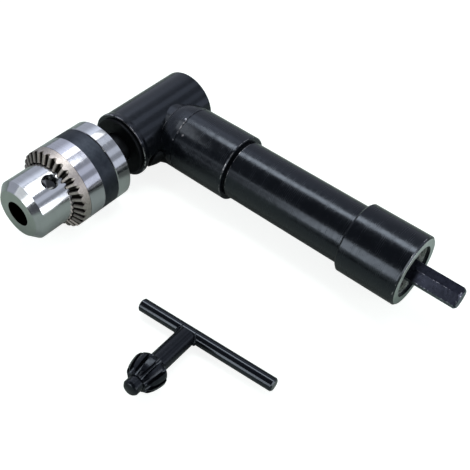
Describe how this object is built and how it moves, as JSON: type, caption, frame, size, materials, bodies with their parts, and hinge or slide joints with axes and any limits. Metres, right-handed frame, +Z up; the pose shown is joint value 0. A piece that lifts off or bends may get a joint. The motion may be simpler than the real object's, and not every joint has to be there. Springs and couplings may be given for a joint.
{
  "type": "right angle drill attachment",
  "caption": "Keyed drill chuck on a gear head set at a right angle to a hex drive shaft in a slim tubular housing, with a loose T-handled chuck key.",
  "frame": {"origin": "centre of the chuck's mouth, on the chuck's axis", "axes": "+Y from the chuck's mouth into the tool along the chuck's axis, +X along the drive shaft towards its hex shank, +Z up from the level plane that holds both axes"},
  "size_m": [0.1664, 0.1227, 0.034],
  "materials": {
    "black_enamel": "semi-gloss black enamel over turned steel",
    "ground_steel": "bright turned and polished steel",
    "sleeve_steel": "bright steel with brown-grey cut teeth and a blue-black band",
    "hardened_steel": "dark hardened steel",
    "blued_steel": "satin dark blue-grey hardened steel",
    "nut_steel": "hardened steel",
    "bearing_steel": "polished bearing steel",
    "bronze": "plain bronze",
    "shield_steel": "pressed sheet steel",
    "spring_steel": "phosphated spring steel",
    "black_oxide": "black oxide on steel"
  },
  "bodies": {
    "housing": {"head_casting": "black_enamel", "bearing_cap": "black_enamel", "spindle_bearing_outer": "bearing_steel", "spindle_bush": "bronze", "neck_sleeve": "black_enamel", "grip_tube": "black_enamel", "end_housing": "black_enamel", "front_bearing_outer": "bearing_steel", "front_circlip": "hardened_steel", "rear_bearing_outer": "bearing_steel", "rear_bearing_shields": "shield_steel", "rear_circlip": "spring_steel"},
    "output": {"spindle": "hardened_steel", "spindle_gear": "hardened_steel", "spindle_gear_pin": "bearing_steel", "spindle_bearing_inner": "bearing_steel", "chuck_body": "ground_steel"},
    "sleeve": {"chuck_sleeve": "sleeve_steel", "split_nut_left": "nut_steel", "split_nut_right": "nut_steel"},
    "jaw_a": {"jaw_1": "hardened_steel"},
    "jaw_b": {"jaw_2": "hardened_steel"},
    "jaw_c": {"jaw_3": "hardened_steel"},
    "drive": {"drive_shaft": "blued_steel", "drive_pinion": "hardened_steel", "drive_pinion_pin": "bearing_steel", "front_bearing_inner": "bearing_steel", "rear_bearing_inner": "bearing_steel"},
    "spindle_cage": {"spindle_bearing_cage": "bronze", "spindle_bearing_balls": "bearing_steel"},
    "front_cage": {"front_bearing_cage": "bronze", "front_bearing_balls": "bearing_steel"},
    "rear_cage": {"rear_bearing_cage": "bronze", "rear_bearing_balls": "bearing_steel"},
    "key": {"key_pinion": "black_oxide", "key_bar": "black_oxide"}
  },
  "joints": [
    {"name": "spindle_spin", "type": "hinge", "parent": "housing", "child": "output", "pos_m": [0, 0.0787, 0], "axis": [0, 1, 0], "continuous": true},
    {"name": "drive_spin", "type": "hinge", "parent": "housing", "child": "drive", "pos_m": [0.0787, 0.0787, 0], "axis": [1, 0, 0], "continuous": true},
    {"name": "sleeve_turn", "type": "hinge", "parent": "output", "child": "sleeve", "pos_m": [0, 0.03, 0], "axis": [0, 1, 0], "range_deg": [0, 3729.8]},
    {"name": "jaw_a_slide", "type": "slide", "parent": "output", "child": "jaw_a", "axis": [-0.2752, -0.9611, -0.0226], "range_m": [0, 0.01865]},
    {"name": "jaw_b_slide", "type": "slide", "parent": "output", "child": "jaw_b", "axis": [0.118, -0.9611, 0.2497], "range_m": [0, 0.01865]},
    {"name": "jaw_c_slide", "type": "slide", "parent": "output", "child": "jaw_c", "axis": [0.1572, -0.9611, -0.227], "range_m": [0, 0.01865]},
    {"name": "spindle_cage_spin", "type": "hinge", "parent": "housing", "child": "spindle_cage", "pos_m": [0, 0.0637, 0], "axis": [0, 1, 0], "continuous": true},
    {"name": "front_cage_spin", "type": "hinge", "parent": "housing", "child": "front_cage", "pos_m": [0.016, 0.0787, 0], "axis": [1, 0, 0], "continuous": true},
    {"name": "rear_cage_spin", "type": "hinge", "parent": "housing", "child": "rear_cage", "pos_m": [0.1242, 0.0787, 0], "axis": [1, 0, 0], "continuous": true},
    {"name": "key_lift", "type": "slide", "parent": "housing", "child": "key", "axis": [0, 0, 1], "range_m": [0, 0.08]}
  ],
  "couplings": [
    {"joint": "drive_spin", "follows": "spindle_spin", "ratio": 1},
    {"joint": "spindle_cage_spin", "follows": "spindle_spin", "ratio": 0.40081},
    {"joint": "front_cage_spin", "follows": "spindle_spin", "ratio": 0.41791},
    {"joint": "rear_cage_spin", "follows": "spindle_spin", "ratio": 0.40081},
    {"joint": "jaw_a_slide", "follows": "sleeve_turn", "m_per_rad": 0.00028648},
    {"joint": "jaw_b_slide", "follows": "sleeve_turn", "m_per_rad": 0.00028648},
    {"joint": "jaw_c_slide", "follows": "sleeve_turn", "m_per_rad": 0.00028648}
  ]
}
